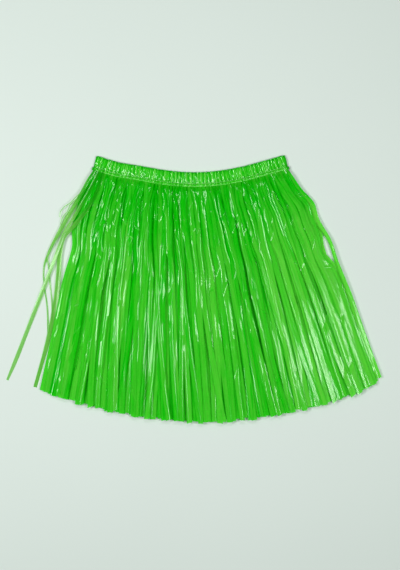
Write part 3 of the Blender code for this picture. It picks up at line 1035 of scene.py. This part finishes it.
def casing_film(heights, u, places, material):
    """The casing's ring, from a grid with its stations as columns and its section as rows."""
    stations, section = places.shape[:2]
    bpy.ops.mesh.primitive_grid_add(x_subdivisions=stations, y_subdivisions=section, size=2.0)
    ring = bpy.context.object
    ring.name = ring.data.name = "film_waistband_casing"
    column, row = grid_index(ring.data, stations, section)
    flat = on_table(places[column % stations, row % section])
    ring.data.vertices.foreach_set("co", flat.ravel())
    depth = np.array([entry[0] for entry in CASING_OUTSIDE + CASING_INSIDE])[row % section]
    tone = ring.data.attributes.new("tone", "FLOAT", "POINT")
    tone.data.foreach_set("value", casing_painted_shading(heights, u[column % stations], depth))
    ring.data.materials.append(material)
    ring.data.update()
    bpy.ops.object.mode_set(mode="EDIT")
    bpy.ops.mesh.select_all(action="SELECT")
    bpy.ops.mesh.remove_doubles(threshold=0.00001)
    bpy.ops.mesh.normals_make_consistent(inside=False)
    bpy.ops.object.mode_set(mode="OBJECT")
    bpy.ops.object.shade_smooth_by_angle(angle=math.radians(SHARP_GATHER))
    return ring


casing = casing_film(gather_heights, u_round, casing_points, CASING_FILM)
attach(casing, "root")
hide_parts("waistband_casing")
print("casing faces:", len(casing.data.polygons))

# %% [markdown]
# ## Two seams
#
# Two rows of lockstitch hold the casing: one right under the elastic and one at
# the edge. A stitch is a short piece of thread, pulled into the film. One stitch
# is modelled, an Array makes the row, and the row is then laid along the waist.
# The thread is spun polyester: pale, with a soft sheen and a fine twist.

# %% Thread
STITCH_PITCH = 3.0
STITCH_LENGTH = 2.3
THREAD_WIDTH = 0.6
# A wave's period is 0.314 m over its scale: this twist repeats every 0.35 mm.
TWIST_SCALE = 900.0
TWIST_RELIEF = 0.1


def thread_finish():
    """Spun polyester thread."""
    material = bpy.data.materials.new("polyester_thread")
    material.use_nodes = True
    tree = material.node_tree
    shader = tree.nodes["Principled BSDF"]
    shader.inputs["Base Color"].default_value = linear("#8cf070")
    shader.inputs["Roughness"].default_value = 0.45
    shader.inputs["Sheen Weight"].default_value = 0.3
    place = add_node(tree, "ShaderNodeTexCoord")
    twist = add_node(tree, "ShaderNodeTexWave", {"Scale": TWIST_SCALE, "Distortion": 1.0},
                     {"Vector": place.outputs["Object"]})
    bump = add_node(tree, "ShaderNodeBump", {"Strength": 0.4, "Distance": TWIST_RELIEF * MM},
                    {"Height": twist.outputs["Fac"]})
    tree.links.new(bump.outputs["Normal"], shader.inputs["Normal"])
    return material


THREAD = thread_finish()
print("thread:", THREAD.name)

# %% Rows of stitches
STITCHES = int(WAIST_LENGTH / STITCH_PITCH) - 1
THREAD_SIDES = 6
STITCH_LIFT = 0.1
BACK_SQUASH = 0.3
STITCH_WANDER = 0.25
STITCH_SLANT = 0.12
SHARP_THREAD = 50.0


def straight_row(name):
    """A straight row of stitches along x, in mm, the first one pitch from the waist's end."""
    bpy.ops.mesh.primitive_cylinder_add(vertices=THREAD_SIDES, radius=THREAD_WIDTH / 2,
                                        depth=STITCH_LENGTH, rotation=(0.0, math.pi / 2, 0.0))
    row = bpy.context.object
    row.name = row.data.name = name
    bpy.ops.object.transform_apply(location=True, rotation=True, scale=True)
    repeat = row.modifiers.new("row", "ARRAY")
    repeat.count = STITCHES
    repeat.use_relative_offset = False
    repeat.use_constant_offset = True
    repeat.constant_offset_displace = (STITCH_PITCH, 0.0, 0.0)
    bpy.ops.object.modifier_apply(modifier=repeat.name)
    points = read_places(row.data)
    points[:, 0] += STITCH_PITCH
    return row, points


def seam(name, below, front, material):
    """One row of stitches across the waist, on the front or on the back."""
    row, points = straight_row(name)
    run = points[:, 0]
    stitch = np.rint((run - STITCH_PITCH) / STITCH_PITCH)
    u = run / WAIST_LENGTH
    _, down = waist_way(u)
    askew = STITCH_WANDER * np.sin(stitch * 2.4)
    askew = askew + STITCH_SLANT * (run - STITCH_PITCH * (stitch + 1))
    plan = waist_top(u) + down * (below - points[:, 1] + askew)[:, None]
    out = {depth: standing for depth, standing, _ in CASING_OUTSIDE}[below]
    reach = casing_reach(gather_heights, run, below, out, 1.0, np.full(len(run), front))
    if front:
        height = CASING_HALF + reach + STITCH_LIFT + points[:, 2]
    else:
        height = CASING_HALF - reach + STITCH_LIFT + BACK_SQUASH * points[:, 2]
    places = on_table(np.column_stack([plan, np.maximum(height, 0.0)]))
    row.data.vertices.foreach_set("co", places.ravel())
    row.data.materials.append(material)
    row.data.update()
    bpy.ops.object.shade_smooth_by_angle(angle=math.radians(SHARP_THREAD))
    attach(row, "root")


for side_name, front in (("front", True), ("back", False)):
    for row_name, below in zip(("upper", "lower"), SEAM_ROWS):
        seam(f"thread_seam_{side_name}_{row_name}", below, front, THREAD)
print("stitches in a row:", STITCHES)

# %% [markdown]
# ## Floor, camera and light
#
# The surface is plain and pale. The camera looks straight down from far off, so
# the skirt keeps its proportions. Soft boxes on the left and the right draw the
# long white streaks in the creases, a narrow lamp behind and one in front pick
# out the kinks, a faint fill lightens the far left, and a pale sky the rest.

# %% Floor
FLOOR_SIZE = 8.0
FLOOR_DROP = 0.0003


def painted_board(name, colour, paler):
    """A matt painted board, very slightly uneven in tone."""
    material = bpy.data.materials.new(name)
    material.use_nodes = True
    tree = material.node_tree
    shader = tree.nodes["Principled BSDF"]
    shader.inputs["Roughness"].default_value = 0.75
    place = add_node(tree, "ShaderNodeTexCoord")
    cloud = add_node(tree, "ShaderNodeTexNoise", {"Scale": 2.0, "Detail": 2.0},
                     {"Vector": place.outputs["Object"]})
    tone = add_node(tree, "ShaderNodeMix", {"data_type": "RGBA", 6: linear(colour), 7: linear(paler)},
                    {0: cloud.outputs["Fac"]})
    tree.links.new(tone.outputs[2], shader.inputs["Base Color"])
    return material


bpy.ops.mesh.primitive_plane_add(size=FLOOR_SIZE, location=(0.0, 0.0, -FLOOR_DROP))
floor = bpy.context.object
floor.name = "floor"
floor.data.materials.append(painted_board("painted_board", "#c1ccc5", "#c5d0c9"))
print("floor in m:", FLOOR_SIZE)

# %% Camera
PHOTO_HEIGHT = 570
MM_PER_PIXEL = 1.6
CAMERA_HEIGHT = 2.6
VIEW_CENTRE = (0.011, 0.006)
lens = bpy.data.cameras.new("camera")
lens.sensor_fit = "VERTICAL"
lens.sensor_height = 36.0
lens.lens = lens.sensor_height * CAMERA_HEIGHT / (PHOTO_HEIGHT * MM_PER_PIXEL * MM)
lens.clip_end = 20.0
camera = bpy.data.objects.new("camera", lens)
camera.location = (*VIEW_CENTRE, CAMERA_HEIGHT)
bpy.context.scene.collection.objects.link(camera)
bpy.context.scene.camera = camera
print("lens in mm:", round(lens.lens, 1))

# %% Light
# Each lamp: where it hangs and its size in metres, and its brightness against paper white.
LAMPS = {
    "softbox_left": ((-0.98, 0.03, 1.35), (0.58, 0.32), 29.0),
    "softbox_right": ((0.76, -0.14, 1.50), (0.46, 0.40), 22.0),
    "softbox_top": ((0.05, 1.00, 1.55), (1.10, 0.06), 40.0),
    "spot_low": ((-0.10, -0.85, 1.60), (0.50, 0.05), 35.0),
    "fill_left": ((-1.00, 1.50, 1.20), (1.10, 1.00), 0.9),
}
SKY_COLOUR = "#f4f8f6"
SKY_STRENGTH = 0.117


def soft_lamp(name, place, size, watts):
    """A rectangular lamp that points at the middle of the skirt, its first side level."""
    data = bpy.data.lights.new(name, "AREA")
    data.shape = "RECTANGLE"
    data.size, data.size_y = size
    data.energy = watts
    lamp = bpy.data.objects.new(name, data)
    lamp.location = place
    lamp.rotation_euler = (-lamp.location).to_track_quat("-Z", "Y").to_euler()
    bpy.context.scene.collection.objects.link(lamp)


for lamp_name, (place, size, radiance) in LAMPS.items():
    soft_lamp(lamp_name, place, size, radiance * math.pi * size[0] * size[1])

world = bpy.data.worlds.new("studio")
bpy.context.scene.world = world
world.use_nodes = True
sky = world.node_tree.nodes["Background"].inputs
sky["Color"].default_value = linear(SKY_COLOUR)
sky["Strength"].default_value = SKY_STRENGTH
bpy.context.scene.view_settings.view_transform = "Standard"
print("lamps:", len(LAMPS))
